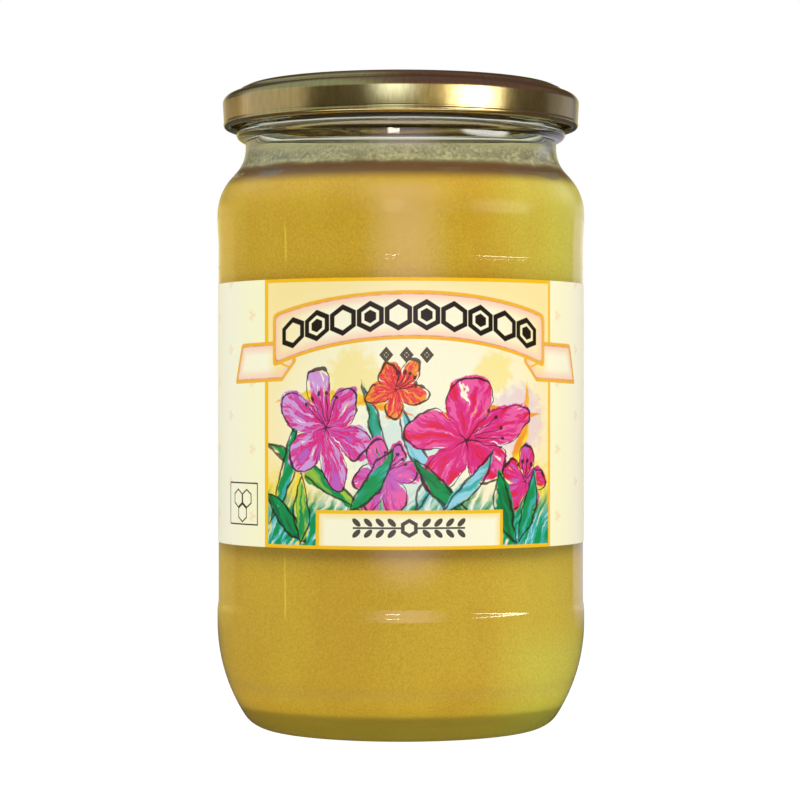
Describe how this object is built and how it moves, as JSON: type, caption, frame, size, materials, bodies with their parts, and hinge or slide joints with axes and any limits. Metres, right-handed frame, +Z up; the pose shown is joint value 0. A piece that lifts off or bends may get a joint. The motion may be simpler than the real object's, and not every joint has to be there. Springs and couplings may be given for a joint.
{
  "type": "honey jar",
  "caption": "Round glass jar of creamed honey with a gold twist-off metal lid and a paper label wrapped round its body.",
  "frame": {"origin": "on the jar's axis, at the height of the surface it stands on", "axes": "+Z up along the jar's axis; the front of the label faces -Y and its lapped seam is at +Y"},
  "size_m": [0.0884, 0.0884, 0.154],
  "materials": {
    "glass": "clear flint glass with a faint green tint, gloss",
    "honey": "opaque creamed honey, satin",
    "lid": "gold-lacquered tinplate, gloss",
    "label": "smooth printed paper, satin"
  },
  "bodies": {
    "root": {"jar_glass": "glass", "honey": "honey", "lid": "lid", "label": "label"}
  },
  "joints": []
}
